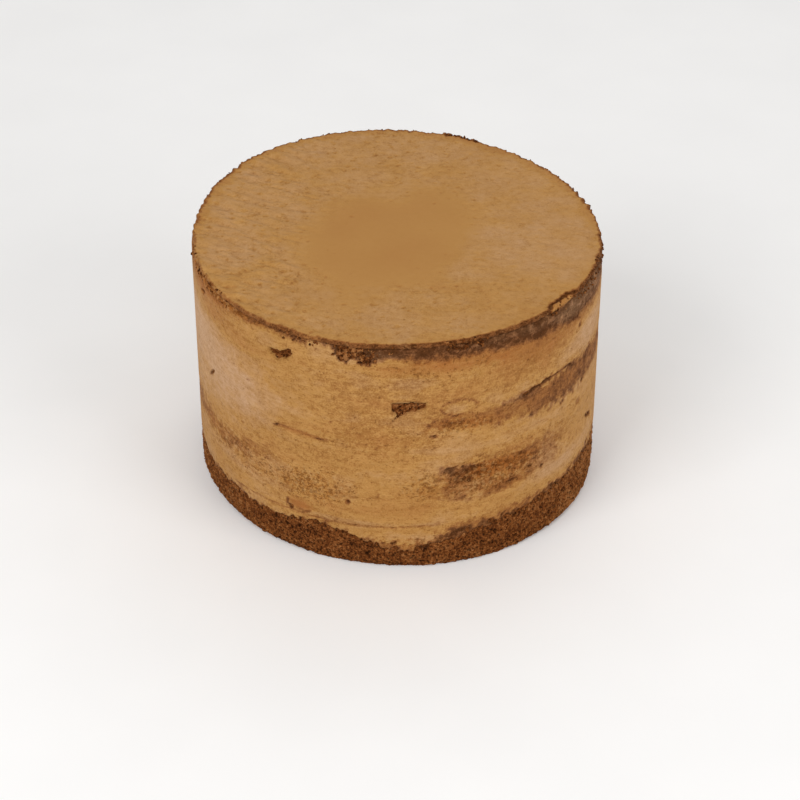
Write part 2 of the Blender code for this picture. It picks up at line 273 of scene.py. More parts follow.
def ease(low, high, value):
    """0 below low, 1 above high and an ease between them."""
    share = np.clip((value - low) / (high - low), 0, 1)
    return share * share * (3 - 2 * share)


def between(first, second, share):
    return first + (second - first) * share


def round_the_side(points, angle):
    """The value at each angle, eased between its points all the way round."""
    angles = np.array([points[-1][0] - 360, *[a for a, _ in points], points[0][0] + 360], float)
    values = np.array([points[-1][1], *[v for _, v in points], points[0][1]], float)
    angle = (angle - angles[0]) % 360 + angles[0]
    i = np.clip(np.searchsorted(angles, angle, side="right") - 1, 0, len(angles) - 2)
    return between(values[i], values[i + 1], ease(0, 1, (angle - angles[i]) / (angles[i + 1] - angles[i])))


def columns_round(rows, angle):
    """Every value after the angle in the rows, eased between them all the way round."""
    return [round_the_side([(row[0], row[k]) for row in rows], angle) for k in range(1, len(rows[0]))]


def turn_between(angle, middle):
    """The signed turn from a middle to each angle, in degrees."""
    return (angle - middle + 180) % 360 - 180


# Noise

def cell_value(cells, seed):
    """A fixed random number from 0 to 1 for each whole-numbered cell."""
    mixed = (cells.astype(np.int64).astype(np.uint64) * HASH_STEPS).sum(-1)
    mixed = (mixed + np.uint64(seed * 2654435761 % 2**32)) & HASH_MASK
    for shift, factor in ((15, 2246822519), (13, 3266489917), (16, 668265263)):
        mixed = ((mixed ^ (mixed >> np.uint64(shift))) * np.uint64(factor)) & HASH_MASK
    return (mixed ^ (mixed >> np.uint64(15))).astype(float) / 2**32


def bumps(points, cell, seed, octaves=1):
    """Smooth noise from -1 to 1 with bumps about a cell across; cell may be one size for each axis."""
    total, size = 0, 0
    for octave in range(octaves):
        scaled = points / (np.asarray(cell, float) / 2**octave)
        corner = np.floor(scaled)
        share = ease(0, 1, scaled - corner)
        value = 0
        for step in product((0, 1), repeat=3):
            weight = np.where(step, share, 1 - share).prod(-1)
            value = value + weight * cell_value(corner + step, seed + octave)
        total = total + (2 * value - 1) * 0.5**octave
        size += 0.5**octave
    return total / size


def noise(points, use):
    """The noise for one use in the table above."""
    return bumps(points, *NOISE[use])


def clods(points, cell, seed):
    """Distance to the nearest of scattered centres: 0 on a crumb's middle, about 1 between crumbs.
    Also gives a random number from 0 to 1 for that nearest crumb."""
    scaled = points / np.asarray(cell, float)
    base = np.floor(scaled)
    nearest = np.full(len(points), np.inf)
    label = np.zeros(len(points))
    for step in product((-1, 0, 1), repeat=3):
        cells = base + step
        centre = np.stack([cell_value(cells, seed + k) for k in (1, 2, 3)], -1)
        distance = np.linalg.norm(cells + 0.15 + 0.7 * centre - scaled, axis=-1)
        closer = distance < nearest
        nearest = np.where(closer, distance, nearest)
        label = np.where(closer, cell_value(cells, seed + 4), label)
    return nearest, label


# The cake's body

def outer_radius(angle, height):
    """The radius of the finished side, without its relief."""
    share = height / HEIGHT
    a = np.radians(angle)
    base = BASE_RADIUS * (1 + BASE_OVAL * np.sin(2 * a))
    top = TOP_RADIUS * (1 + TOP_OVAL * np.cos(2 * a - 0.5) - TOP_LOBES * np.sin(3 * a + 0.3))
    return between(base, top, share)


def place(angle, height, radius):
    """Points in metres at an angle, a nominal height and a radius, with the cake's lean and slope."""
    a = np.radians(angle)
    share = height / HEIGHT
    x, y = radius * np.sin(a), -radius * np.cos(a)
    z = height + share * (SLOPE_X * x + SLOPE_Y * y)
    return np.stack([x + LEAN_X * (share - 0.5), y, z], -1) * MM


def side_points(angle, height):
    """Places on a plain cylinder in millimetres, where the side's noise is read."""
    a = np.radians(angle)
    return np.stack([BASE_RADIUS * np.sin(a), -BASE_RADIUS * np.cos(a), height], -1)


def shoulder(height):
    """How far the side turns in just under the cream top, to meet its rim."""
    return RIM_INSET * ease(-SHOULDER, 0, height - COAT_TOP)


def oval(angle, height, middle, level, half_length, half_height):
    """1 at the edge of an oval zone on the side, 0 at its middle; its half length is in degrees."""
    along = turn_between(angle, middle) / half_length
    up = (height - level) / half_height
    return np.sqrt(along**2 + np.abs(up) ** 1.5)


def line_distance(s, z, s0, z0, s1, z1):
    """Distance from each point to the line between two ends."""
    length = (s1 - s0) ** 2 + (z1 - z0) ** 2
    share = np.clip(((s - s0) * (s1 - s0) + (z - z0) * (z1 - z0)) / length, 0, 1)
    return np.hypot(s - between(s0, s1, share), z - between(z0, z1, share))


def hole_mask(angle, height, corners):
    """1 inside a torn hole and 0 outside it, from its corners."""
    s, z = turn_between(angle, corners[0][0]) * ARC, height
    path = [(turn_between(a, corners[0][0]) * ARC, level) for a, level in corners]
    inside = np.zeros(len(s), bool)
    nearest = np.full(len(s), np.inf)
    for (s0, z0), (s1, z1) in zip(path, path[1:] + path[:1]):
        nearest = np.minimum(nearest, line_distance(s, z, s0, z0, s1, z1))
        crosses = (z0 > z) != (z1 > z)
        inside ^= crosses & (s < s0 + (z - z0) * (s1 - s0) / (z1 - z0 if z1 != z0 else 1))
    return ease(-HOLE_EDGE, HOLE_EDGE, np.where(inside, nearest, -nearest))


def groove_depth(angle, height, wander):
    """How deep the fine grooves and folds cut into the cream."""
    depth = np.zeros(len(angle))
    for width, deep, path in GROOVES:
        for (a0, z0), (a1, z1) in zip(path, path[1:]):
            near = np.abs(turn_between(angle, (a0 + a1) / 2)) < abs(a1 - a0) + 4
            s = turn_between(angle[near], a0) * ARC
            away = line_distance(s, height[near] + wander[near], 0, z0, (a1 - a0) * ARC, z1)
            depth[near] = np.maximum(depth[near], deep * np.exp(-((away / width) ** 2)))
    return depth


def torn_depth(angle, height):
    """How far the sponge is torn out below its usual surface."""
    points = side_points(angle, height)
    ragged = 0.5 * noise(points, "rips") + 0.4 * noise(points, "tears")
    depth = np.zeros(len(angle))
    for deep, corners in HOLES.values():
        depth = np.maximum(depth, deep * hole_mask(angle + ragged / ARC, height + ragged, corners))
    return depth


def band_share(rows, angle, height, ragged):
    """How much cream is gone in one scraped band."""
    low, high, gone, fade = columns_round(rows, angle)
    return gone * ease(-fade, fade, height - low + ragged) * ease(-fade, fade, high - height + ragged)


def rim_gone(angle, height, ragged):
    """How much cream is gone in the band under the rim, less where a chunk is left."""
    chunk = 1 - ease(0.55, 1.05, oval(angle, height, *RIM_CHUNK) + 0.2 * ragged)
    rows = [(at, low, ABOVE_RIM, gone, fade) for at, low, gone, fade in UNDER_RIM]
    return band_share(rows, angle, height, ragged) * (1 - 0.85 * chunk)


def foot_gone(gone, points, angle, height, blotches, fine):
    """The cream gone, also at the foot: stained just above the coat's lower edge and bare below it."""
    ragged = between(0.65, 1, ease(-16, 4, angle)) * (4.0 * blotches + 3.6 * fine)
    lower = round_the_side(COAT_LOWER_EDGE, angle) + ragged
    climb, strength = columns_round(FOOT_STAIN, angle)
    mottled = noise(points, "foot_mottles")
    stain = strength * (1 - ease(0, 1, (height - lower + 3.5 * mottled + 2 * blotches) / climb))
    gone = gone + stain * (1 - 0.8 * np.clip(gone, 0, 1))
    fade = round_the_side(FOOT_FADE, angle)
    return between(gone, FOOT_GONE, ease(0, 2 * fade, lower - height))


def cream_gone(points, angle, height, blotches):
    """How much of the coat's cream is gone; over 1 the sponge is bare."""
    fine = noise(points, "mottles")
    mottles = blotches + 0.8 * fine
    gone = MEAN_GONE + 0.07 * noise(points, "thickness")
    # long fine lines that the scraper draws, and small dents
    gone += 0.05 * noise(points, "long_lines") + 0.06 * noise(points, "short_lines")
    gone += 0.05 * noise(points, "dents")
    share = rim_gone(angle + 5.0 * blotches, height, 1.6 * blotches + 0.9 * fine)
    gone = gone + share * (1 + 0.27 * mottles)
    for rows in BANDS.values():
        share = band_share(rows, angle + 5.0 * blotches, height, 3.6 * blotches + 2.0 * fine)
        gone = gone + share * (1 - 0.8 * np.clip(gone, 0, 1) + 0.5 * mottles)
    gone = foot_gone(gone, points, angle, height, blotches, fine)
    for middle, level, half_length, half_height, rise, deep in PITS:
        s = turn_between(angle, middle) * ARC + 0.5 * blotches
        away = np.hypot(s / half_length, (height - level - rise * s + 0.4 * blotches) / half_height)
        gone += deep * (1 - ease(0.45, 1.15, away))
    return gone + groove_depth(angle, height, 0.35 * noise(points, "groove_wander"))


def coat_freckles(angle, height, blotches):
    """How freckled with crumbs the coat is."""
    freckle = LEAST_FRECKLE
    for *zone, strength in FRECKLES:
        edge = oval(angle, height, *zone) + 0.35 * blotches
        freckle = np.maximum(freckle, strength * (1 - ease(0.35, 1.15, edge)))
    return freckle


def coat_tint_and_sheen(points, angle, height, blotches):
    """The coat's tint, warm brown above zero and pale pinkish below, with a painted sheen in the pale zone
    over the left side.
    """
    tint = 0.32 * noise(points, "broad_tint") + 0.26 * noise(points, "tint_bands")
    for *zone, amount in TINTS_AND_SHEEN:
        edge = oval(angle, height, *zone) + 0.30 * blotches
        tint += amount * (1 - ease(0.25, 1.25, edge))
    return tint


def coat_fields(angle, height):
    """The coat's level over the sponge in millimetres, how well it covers the crumbs, its tint and its
    freckles."""
    points = side_points(angle, height)
    blotches = 0.6 * noise(points, "blotches") + 0.55 * noise(points, "spots")
    gone = cream_gone(points, angle, height, blotches)
    level = 1 - gone
    relief = under_relief(points, height) - MEAN_RELIEF
    cover = level + between(0.26, 0.06, np.clip(level, 0, 1)) * relief
    torn = np.clip(torn_depth(angle, height), 0, 1)
    film = SPONGE_DEPTH - THIN_FILM * np.minimum(gone, 1) - BARE_DIP * np.maximum(gone - 1, 0)
    tint = coat_tint_and_sheen(points, angle, height, blotches)
    return between(film, HOLE_FILM, torn), cover - torn, tint, coat_freckles(angle, height, blotches)


def under_relief(points, height):
    """The relief of whatever lies under the coat: torn sponge, or smooth filling."""
    relief = np.full(len(height), SMOOTH_RELIEF)
    for name, (seed, _, _) in SPONGES.items():
        low, high = SPANS[name]
        here = (height >= low) & (height <= high)
        near = ease(0, 1.2, np.minimum(height[here] - low, high - height[here]))
        relief[here] = between(SMOOTH_RELIEF, crumb_relief(points[here], seed), near)
    return relief


def crumb_relief(points, seed):
    """How far torn sponge lies below its crumbs' tips, in millimetres."""
    away, label = clods(points, CRUMB, seed)
    fine, fine_label = clods(points, SMALL_CRUMB, seed + 10)
    relief = 0.30 + 0.45 * away**2 + 0.40 * (1 - label**2) + 0.40 * fine * (0.4 + fine_label)
    relief += 0.35 * bumps(points, 6, seed + 30, 2) + 0.40 * bumps(points, 1.7, seed + 33, 2)
    # a few open pores
    pore, pore_label = clods(points, PORE, seed + 40)
    relief += 0.9 * (pore_label < PORE_SHARE) * (1 - ease(0.12, 0.34, pore))
    return np.maximum(relief, 0.05)


# Meshes

def grid_faces(rows, columns, closed=False):
    """Faces of a grid of rings that closes on itself, and of its last ring to its first if closed."""
    lower = np.arange((rows if closed else rows - 1) * columns)
    row, column = lower // columns, lower % columns
    following = (column + 1) % columns
    above = (row + 1) % rows * columns
    return np.stack([lower, row * columns + following, above + following, above + column], -1).tolist()


def add_piece(name, points, faces, finish, node, fields):
    """A smooth mesh object from points in metres, with its fields as attributes, in a node's place."""
    mesh = bpy.data.meshes.new(name)
    mesh.from_pydata(points.tolist(), [], faces)
    for field, values in fields.items():
        layer = mesh.attributes.new(field, "FLOAT", "POINT")
        layer.data.foreach_set("value", np.asarray(values, np.float32))
    mesh.shade_smooth()
    mesh.materials.append(finish)
    mesh.update()
    piece = bpy.data.objects.new(name, mesh)
    bpy.context.scene.collection.objects.link(piece)
    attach(piece, "root")
    if node:
        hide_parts(node)
    return piece


def ring_angles(columns):
    """Angles round the side, closer together at the front than at the back."""
    front, back = columns
    return np.concatenate([
        np.linspace(-FRONT_REACH, FRONT_REACH, front, endpoint=False),
        np.linspace(FRONT_REACH, 360 - FRONT_REACH, back, endpoint=False),
    ])


def side_grid(low, high, rows, columns):
    """Angles and heights of a grid over the side, one row after another; low and high may be rings."""
    ring = ring_angles(columns)
    angle = np.tile(ring, rows)
    share = np.repeat(np.linspace(0, 1, rows), len(ring))
    low, high = (np.tile(np.broadcast_to(edge, len(ring)), rows) for edge in (low, high))
    return angle, between(low, high, share)


def sponge_surface(name, angle, height):
    """How far one sponge's side lies below its crumbs' tips, how far it is torn out below that, both in
    millimetres, and how dark it is, as painted shade."""
    points = side_points(angle, height)
    relief = crumb_relief(points, SPONGES[name][0])
    torn = torn_depth(angle, height)
    # in the torn places the crumbs are larger, with deep gaps between them
    rough = torn
    if name == "sponge_4":
        rough = np.maximum(torn, ease(1.0, 1.25, rim_gone(angle, height, 0)))
    rough = np.clip(rough, 0, 1)
    gap, gap_label = clods(points, *TORN_CRUMB)
    lace = rough * (0.8 * ease(0.34, 0.66, gap) - 0.70 + 0.3 * gap_label)
    relief += 0.9 * lace
    # the small deep holes are smooth inside
    smooth = 0.75 * ease(0.4, 0.9, torn)
    relief = between(relief, HOLE_RELIEF, smooth)
    # how dark the sponge is: painted shade, darker where the relief lies deep and in the gaps between torn
    # crumbs and an even shade in the small holes; also lighter towards the left and right sides
    lighter = 0.22 * ease(30, 80, -angle) + 0.32 * ease(25, 75, angle)
    pit = np.clip((relief - 0.3) / 1.7, 0, 1) + 1.1 * lace - lighter - 0.2 * rough
    return relief, torn, between(pit, HOLE_SHADE, smooth)


def sponge_piece(name, finish):
    """One sponge layer: a torn crumbly side between two flat hidden faces."""
    _, rows, columns = SPONGES[name]
    low, high = SPANS[name]
    low, high = low + HIDDEN_GAP * (low > 0), high - HIDDEN_GAP
    angle, height = side_grid(low, high, rows, columns)
    relief, torn, pit = sponge_surface(name, angle, height)
    swell = FOOT_SWELL * ease(0, FOOT_SWELL_OVER, round_the_side(COAT_LOWER_EDGE, angle) - height)
    edge = np.minimum(height - low, high - height)
    rounding = FOOT_ROUNDING * (1 - ease(0, FOOT_ROUNDING_OVER, edge)) if name == "sponge_1" else 0
    radius = outer_radius(angle, height) - CRUMB_TIPS - relief - torn - rounding + swell - shoulder(height)
    centres = place(np.zeros(2), np.array((low, high)), np.zeros(2))
    points = np.vstack([place(angle, height, radius), centres])
    count = sum(columns)
    faces = grid_faces(rows, count)
    last = rows * count
    for i in range(count):
        j = (i + 1) % count
        faces.append((last, j, i))
        faces.append((last + 1, last - count + i, last - count + j))
    return add_piece(name + "_crumb", points, faces, finish, name, {"pit": np.append(pit, (0, 0))})


def coat_piece(finish):
    """The scraped coat: a closed sleeve that dips under the sponge wherever it is bare."""
    ring = ring_angles(COAT_COLUMNS)
    count = len(ring)
    low = round_the_side(COAT_LOWER_EDGE, ring) - COAT_OVERLAP
    high = np.full(count, COAT_TOP)
    angle, height = side_grid(low, high, COAT_ROWS, COAT_COLUMNS)
    film, cover, tint, freckle = coat_fields(angle, height)
    radius = outer_radius(angle, height) - SPONGE_DEPTH + film - shoulder(height)
    inner = [place(ring, z, outer_radius(ring, z) - COAT_WALL) for z in (high, (low + high) / 2, low)]
    points = np.vstack([place(angle, height, radius), *inner])
    faces = grid_faces(COAT_ROWS + len(inner), count, closed=True)
    fields = {"film": cover, "tint": tint, "wear": np.ones(len(cover)), "freckle": freckle}
    fields = {name: np.append(values, np.zeros(len(inner) * count)) for name, values in fields.items()}
    return add_piece("scraped_coat", points, faces, finish, "side_coat", fields)


def disc_grid(cells):
    """Points of a square grid laid evenly over a unit disc, its faces and the rim's order."""
    line = np.linspace(-1, 1, cells + 1)
    u, v = (g.ravel() for g in np.meshgrid(line, line))
    wide = np.abs(u) >= np.abs(v)
    reach = np.where(wide, u, v)
    with np.errstate(divide="ignore", invalid="ignore"):
        share = np.where(wide, v / u, u / v)
    share = np.nan_to_num(share)
    turn = np.where(wide, math.pi / 4 * share, math.pi / 2 - math.pi / 4 * share)
    disc = np.stack([reach * np.cos(turn), reach * np.sin(turn)], -1)
    n = cells + 1
    corner = (np.arange(cells)[:, None] * n + np.arange(cells)).ravel()
    faces = np.stack([corner, corner + 1, corner + n + 1, corner + n], -1).tolist()
    side = np.arange(cells)
    rim = np.concatenate([side, side * n + cells, cells * n + cells - side, (cells - side) * n])
    return disc, faces, rim


def rim_edge(angle):
    """The ragged outer edge of the cream top."""
    top = np.full(len(angle), HEIGHT)
    points = side_points(angle, top)
    back = ease(60, 120, np.abs(angle))
    tooth, label = clods(points, *RIM_TOOTH)
    ragged = 0.40 * noise(points, "rim_waves") + between(0.30, 1.10, back) * noise(points, "rim_teeth")
    ragged += between(0.3, 1.3, back) * (label - 0.35) * (1 - ease(0.25, 0.60, tooth))
    return outer_radius(angle, top) - RIM_INSET + ragged


def turned(points, degrees):
    """Places turned about the vertical, for strokes that run aslant."""
    a = math.radians(degrees)
    turn = np.array(((math.cos(a), math.sin(a), 0), (-math.sin(a), math.cos(a), 0), (0, 0, 1)))
    return points @ turn.T


def top_specks(points, wear, size, seed):
    """Small marks of one size on the top, more of them where it is worked."""
    speck, label = clods(turned(points, SPECK_TURN), (size * 1.25, size, size), seed)
    ragged = 0.35 * bumps(points, 1.3, seed + 3)
    return (label < between(0.01, 0.20, wear)) * (1 - ease(0.08, 0.50, speck + ragged))


def rim_crack(points, angle, inward):
    """The crack in the top near the rim, and the crumbly piece outside it."""
    angles, depths = zip(*RIM_CRACK)
    along = np.interp(angle, angles, depths) + 0.3 * noise(points, "crack_wander")
    here = ease(angles[0] - 1, angles[0], angle) * (1 - ease(angles[-1], angles[-1] + 1, angle))
    away = np.abs(inward - along) + 0.5 * noise(points, "crack_edge")
    return here * (1 - ease(0.45, 1.40, away)), here * (inward < along)


def top_fields(points, inward):
    """Relief of the cream top in millimetres, its film, its tint and how worked it is, from places on it
    in millimetres and the distance in from the rim."""
    x, y = points[:, 0], points[:, 1]
    centre = np.hypot((x - CALM_X - CALM_LEAN * y) / CALM_WIDE, (y - CALM_Y) / CALM_LONG)
    wear = ease(0.55, 1.10, centre + 0.25 * noise(points, "worked_edge"))
    left = ease(15, 55, -x)
    calm = 1 - 0.5 * ease(10, 50, x)
    wrinkles = noise(turned(points, WRINKLE_TURN), "wrinkles")
    strokes = noise(turned(points, STROKE_TURN), "strokes")
    lines = between(0.7 * strokes, 3.6 * wrinkles, left)
    small = noise(points, "top_grain")
    relief = -0.20 * (1 + noise(points, "top_waves")) + between(0.01, 0.22, wear) * (lines + 0.5 * small)
    film = 0.98 + between(0.01, 0.035, wear) * (lines + small)
    tint = 0.20 * noise(points, "top_tint") + between(0.12, -0.22, wear)
    tint += 0.2 * noise(points, "top_mottles") * wear
    for size, seed in SPECKS:
        specks = calm * top_specks(points, wear, size, seed)
        relief -= 0.20 * specks
        film -= 0.14 * specks
        tint += 0.30 * specks
    angle = np.degrees(np.arctan2(x, -y))
    back = ease(55, 120, np.abs(angle))
    # darker towards the rim, over a wider band at the back: partly thin stained cream, partly painted shade
    # on the rim's edge
    blotches = 0.6 * noise(points, "dark_rim_blotches") + 0.6 * noise(points, "dark_rim_grain")
    dark_rim_reach = between(0.9, 2.3, back) + 1.6 * blotches
    film = between(film, 0.22 + 0.35 * blotches, 1 - ease(0.35, 1, inward / np.maximum(dark_rim_reach, 0.4)))
    tint += 0.15 * wear * ease(25, 65, -y)
    tint += 0.60 * (1 - ease(0, 8, inward + 3 * blotches)) * between(0.25, 1, back)
    crack, outside = rim_crack(points, angle, inward)
    relief -= crack
    film -= 1.3 * crack
    tint += 0.6 * outside
    return relief, film, tint, 0.12 + 0.62 * wear * between(0.6, 1, calm)


def rim_rings(around, edge, top, film):
    """The rounded rim of the cream top: a row of places and a film for each step down it."""
    low = SPANS["top_cream"][0]
    level = np.full(len(around), HEIGHT - 1)
    rough = noise(side_points(around, level), "rim_patches")
    gone = np.minimum(rim_gone(around, level, 0.8 * rough), 0.82) + 0.15 * rough
    rings, films = [], []
    for step in range(1, RIM_STEPS + 1):
        turn = min(math.pi / 2 * step / (RIM_STEPS - 1), math.pi / 2)
        out = RIM_ROUNDING * math.sin(turn)
        drop = RIM_ROUNDING * (1 - math.cos(turn))
        below = top - drop if step < RIM_STEPS else np.full(len(around), low + RIM_SEAM)
        rings.append(place(around, below, edge + out))
        films.append(between(film, 1 - gone, min(1, step / 2)))
    return rings, films


def top_piece(finish):
    """The cream top: an evenly gridded disc with a rounded ragged rim."""
    disc, faces, rim = disc_grid(TOP_CELLS)
    angle = np.degrees(np.arctan2(disc[:, 0], -disc[:, 1]))
    edge = rim_edge(angle) - RIM_ROUNDING
    radius = np.hypot(disc[:, 0], disc[:, 1]) * edge
    low, high = SPANS["top_cream"]
    flat = np.stack([radius * np.sin(np.radians(angle)), -radius * np.cos(np.radians(angle)), 0 * angle], -1)
    relief, film, tint, wear = top_fields(flat, edge + RIM_ROUNDING - radius)
    rings, films = rim_rings(angle[rim], edge[rim], high + relief[rim], film[rim])
    centre = place(np.zeros(1), np.full(1, low + HIDDEN_GAP), np.zeros(1))
    points = np.vstack([place(angle, high + relief, radius), *rings, centre])
    start, count = len(disc), len(rim)
    loops = [rim.tolist()]
    loops += [list(range(start + s * count, start + (s + 1) * count)) for s in range(RIM_STEPS)]
    for upper, lower in zip(loops, loops[1:]):
        for i in range(count):
            j = (i + 1) % count
            faces.append((upper[j], upper[i], lower[i], lower[j]))
    for i in range(count):
        faces.append((loops[-1][i], len(points) - 1, loops[-1][(i + 1) % count]))
    film = np.concatenate([film, *films, (1,)])
    tint = np.concatenate([tint, *[tint[rim] * 0.5] * RIM_STEPS, (1,)])
    wear = np.concatenate([wear, np.ones(RIM_STEPS * count + 1)])
    # more freckled where the cream is worked and where it is thin
    freckle = 0.04 + 0.14 * wear + 0.5 * np.clip(0.8 - film, 0, 1)
    fields = {"film": film, "tint": tint, "wear": wear, "freckle": freckle}
    return add_piece("smooth_top", points, faces, finish, "top_cream", fields)


# Loose crumbs

def crumb_ball():
    """The corners and faces of a small round lump."""
    golden = (1 + math.sqrt(5)) / 2
    corners = [(-1, golden, 0), (1, golden, 0), (-1, -golden, 0), (1, -golden, 0)]
    corners += [(z, x, y) for x, y, z in corners] + [(y, z, x) for x, y, z in corners]
    corners = np.array(corners)
    corners /= np.linalg.norm(corners[0])
    edges = [(p, q) for p, q in combinations(range(12), 2) if np.linalg.norm(corners[p] - corners[q]) < 1.1]
    middles = np.array([corners[p] + corners[q] for p, q in edges])
    middles /= np.linalg.norm(middles[0])
    halfway = {edge: 12 + k for k, edge in enumerate(edges)}
    faces = []
    for a, b, c in combinations(range(12), 3):
        if (a, b) in halfway and (b, c) in halfway and (a, c) in halfway:
            ab, bc, ca = halfway[a, b], halfway[b, c], halfway[a, c]
            step = 1 if np.linalg.det(corners[[a, b, c]]) > 0 else -1
            faces += [face[::step] for face in ((a, ab, ca), (b, bc, ab), (c, ca, bc), (ab, bc, ca))]
    return np.vstack([corners, middles]), np.array(faces)


# Where crumbs stick: how many, middle angle, half length, lowest and highest height, how deep their middles
# lie in the surface, smallest and largest radius in millimetres
CRUMB_ZONES = (
    (60, 180, 80, 114.2, 115.5, 0.2, 0.25, 0.6), (60, 10, 85, 113, 115, 0.2, 0.2, 0.5),
    (80, -66, 16, 110.5, 115.4, 0.3, 0.25, 0.85), (110, -11, 7, 105, 113.3, 0.9, 0.35, 0.95),
    (30, -26, 6, 111, 114.8, 0.3, 0.3, 0.8), (50, 19, 5, 111.5, 115.2, 0, 0.3, 0.9),
    (8, 49, 3, 112, 114.5, 0.3, 0.35, 0.8), (80, 74, 15, 110.5, 115.4, 0.2, 0.25, 0.75),
    (80, 160, 5.5, 114, 115.6, 0.1, 0.4, 1), (30, 3, 4.5, 80, 86.5, 1.3, 0.25, 0.55),
    (420, 0, 180, 1, 15, 0.8, 0.3, 0.8), (110, 60, 45, 8, 20, 0.8, 0.3, 0.75),
)
CRUMB_SEED = 41
ABOVE_FLOOR = 0.0001


def surface_radius(angle, height):
    """The radius of the side, or of the rounded rim above it, at one place."""
    angle, height = np.array([angle]), np.array([height])
    if height[0] < COAT_TOP:
        return (outer_radius(angle, height) - shoulder(height))[0]
    up = np.clip((height - HEIGHT) / RIM_ROUNDING + 1, 0, 1)
    return (rim_edge(angle) - RIM_ROUNDING * (1 - np.sqrt(1 - up**2)))[0]


def crumbs_piece(finish):
    """Crumbs that stick to the rim, the torn places and the bare foot, joined in one mesh."""
    chance = np.random.default_rng(CRUMB_SEED)
    ball, faces = crumb_ball()
    lumps, triangles, shade = [], [], []
    for count, middle, half_length, low, high, depth, smallest, largest in CRUMB_ZONES:
        for _ in range(count):
            angle = middle + half_length * chance.uniform(-1, 1)
            height = chance.uniform(low, high)
            size = between(smallest, largest, chance.random() ** 2)
            radius = surface_radius(angle, height) - depth + chance.uniform(-0.2, 0.2)
            spot = place(angle, height, radius)
            stretch = size * chance.uniform(0.65, 1.25, 3)
            bumpy = 1 + 0.35 * noise(ball * 1.3 + 9 * len(lumps), "lumps")[:, None]
            triangles.append(faces + len(ball) * len(lumps))
            lumps.append(spot + ball * stretch * bumpy * MM)
            shade.append(np.full(len(ball), chance.random()))
    points = np.vstack(lumps)
    points[:, 2] = np.maximum(points[:, 2], ABOVE_FLOOR)
    fields = {"pit": 0.05 + np.concatenate(shade) * 0.60}
    return add_piece("loose_crumbs", points, np.vstack(triangles).tolist(), finish, None, fields)


# Materials

class Shader:
    """A few short words for building a material's nodes."""

    def __init__(self, name, roughness, specular):
        self.material = bpy.data.materials.new(name)
        self.material.use_nodes = True
        self.nodes = self.material.node_tree.nodes
        self.links = self.material.node_tree.links
        self.surface = self.nodes["Principled BSDF"]
        self.surface.inputs["Roughness"].default_value = roughness
        self.surface.inputs["Specular IOR Level"].default_value = specular
        self.place = self.nodes.new("ShaderNodeTexCoord").outputs["Object"]

    def put(self, socket, value):
        if isinstance(value, bpy.types.NodeSocket):
            self.links.new(value, socket)
        elif isinstance(value, tuple):
            socket.default_value = (*value, 1)
        else:
            socket.default_value = value

    def math(self, operation, first, second, clamp=False):
        node = self.nodes.new("ShaderNodeMath")
        node.operation = operation
        node.use_clamp = clamp
        self.put(node.inputs[0], first)
        self.put(node.inputs[1], second)
        return node.outputs[0]

    def times(self, first, second, clamp=False):
        return self.math("MULTIPLY", first, second, clamp)

    def field(self, name):
        node = self.nodes.new("ShaderNodeAttribute")
        node.attribute_name = name
        return node.outputs["Fac"]

    def scaled(self, stretch):
        """The place on the object in steps of so many millimetres along each axis."""
        node = self.nodes.new("ShaderNodeMapping")
        self.links.new(self.place, node.inputs["Vector"])
        node.inputs["Scale"].default_value = tuple(1 / (size * MM) for size in stretch)
        return node.outputs["Vector"]

    def grain(self, stretch, detail=2.0, roughness=0.55):
        """Noise from 0 to 1 with bumps about that many millimetres across."""
        node = self.nodes.new("ShaderNodeTexNoise")
        self.links.new(self.scaled(stretch), node.inputs["Vector"])
        node.inputs["Scale"].default_value = 1.0
        node.inputs["Detail"].default_value = detail
        node.inputs["Roughness"].default_value = roughness
        return node.outputs["Fac"]

    def spread(self, value, amount):
        """Noise about its middle, as strong as amount."""
        return self.times(self.math("SUBTRACT", value, 0.5), amount)

    def total(self, start, *parts):
        """A start plus values, each times its own weight."""
        for value, weight in parts:
            start = self.math("ADD", start, self.times(value, weight))
        return start

    def pores(self, size):
        """Distance to the nearest of scattered points, about that many millimetres apart."""
        node = self.nodes.new("ShaderNodeTexVoronoi")
        self.links.new(self.scaled((size, size, size)), node.inputs["Vector"])
        node.inputs["Scale"].default_value = 1.0
        return node.outputs["Distance"]

    def ramp(self, value, stops):
        node = self.nodes.new("ShaderNodeValToRGB")
        self.put(node.inputs["Fac"], value)
        elements = node.color_ramp.elements
        while len(elements) < len(stops):
            elements.new(0.5)
        for element, (position, colour) in zip(elements, stops):
            element.position = position
            element.color = (*colour, 1)
        return node.outputs["Color"]

    def toned(self, shade):
        """A grey shade as a colour, warmer where it is dark and paler where it is light."""
        node = self.nodes.new("ShaderNodeCombineColor")
        shade = self.math("MAXIMUM", shade, 0.1)
        for socket, power in zip(node.inputs, TONE):
            self.put(socket, self.math("POWER", shade, power))
        return node.outputs["Color"]

    def mix(self, share, first, second, kind="MIX"):
        node = self.nodes.new("ShaderNodeMix")
        node.data_type = "RGBA"
        node.blend_type = kind
        self.put(node.inputs[0], share)
        self.put(node.inputs[6], first)
        self.put(node.inputs[7], second)
        return node.outputs[2]

    def bump(self, height, strength, distance_mm):
        node = self.nodes.new("ShaderNodeBump")
        node.inputs["Strength"].default_value = strength
        node.inputs["Distance"].default_value = distance_mm * MM
        self.put(node.inputs["Height"], height)
        return node.outputs["Normal"]

    def finish(self, colour, roughness=None, normal=None):
        self.put(self.surface.inputs["Base Color"], colour)
        if roughness is not None:
            self.put(self.surface.inputs["Roughness"], roughness)
        if normal is not None:
            self.put(self.surface.inputs["Normal"], normal)
        return self.material


